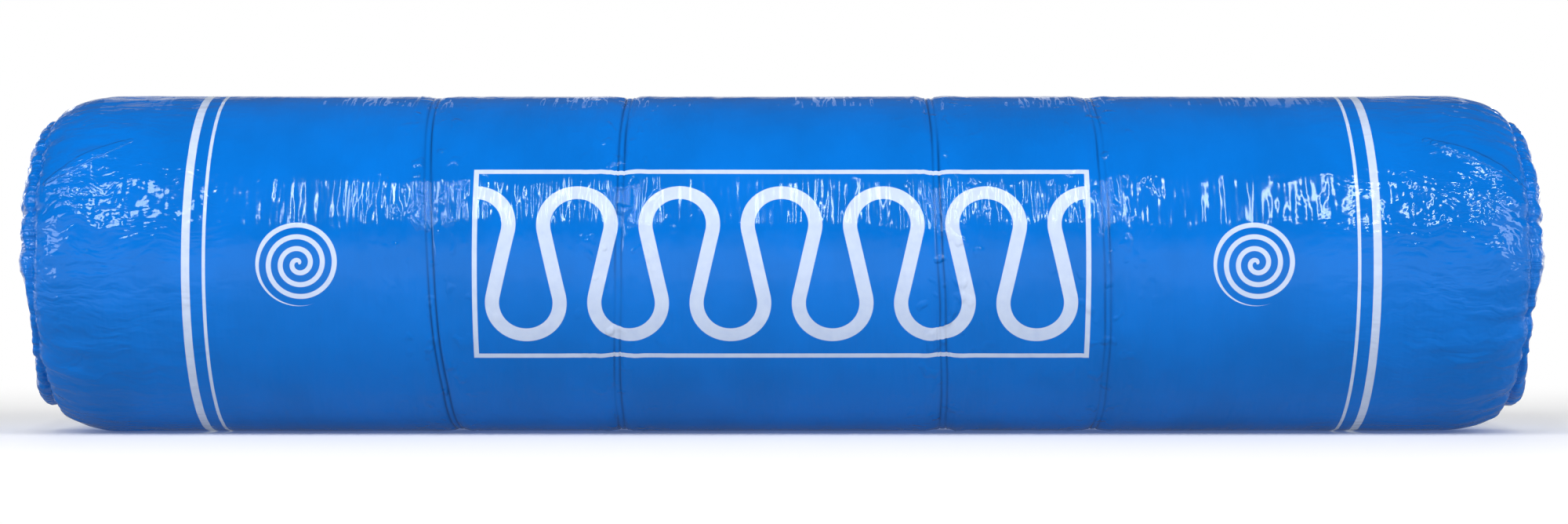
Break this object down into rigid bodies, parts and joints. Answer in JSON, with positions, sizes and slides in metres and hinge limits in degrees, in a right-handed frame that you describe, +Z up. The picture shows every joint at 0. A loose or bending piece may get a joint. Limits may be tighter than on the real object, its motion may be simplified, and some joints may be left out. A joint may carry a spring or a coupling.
{
  "type": "insulation roll",
  "caption": "Long roll of glass wool insulation blanket, held by straps and packed in a glossy blue plastic film bag with gathered ends, lying on its side.",
  "frame": {"origin": "on the floor, under the middle of the roll", "axes": "+X along the roll, -Y towards the viewer of the picture, +Z up"},
  "size_m": [1.8764, 0.426, 0.4256],
  "materials": {
    "wool": "matt yellow glass wool",
    "film": "glossy blue film",
    "strap": "pale woven-look strap"
  },
  "bodies": {
    "root": {"wool_roll": "wool", "film_bag": "film", "strap_1": "strap", "strap_2": "strap", "strap_3": "strap", "strap_4": "strap"}
  },
  "joints": []
}
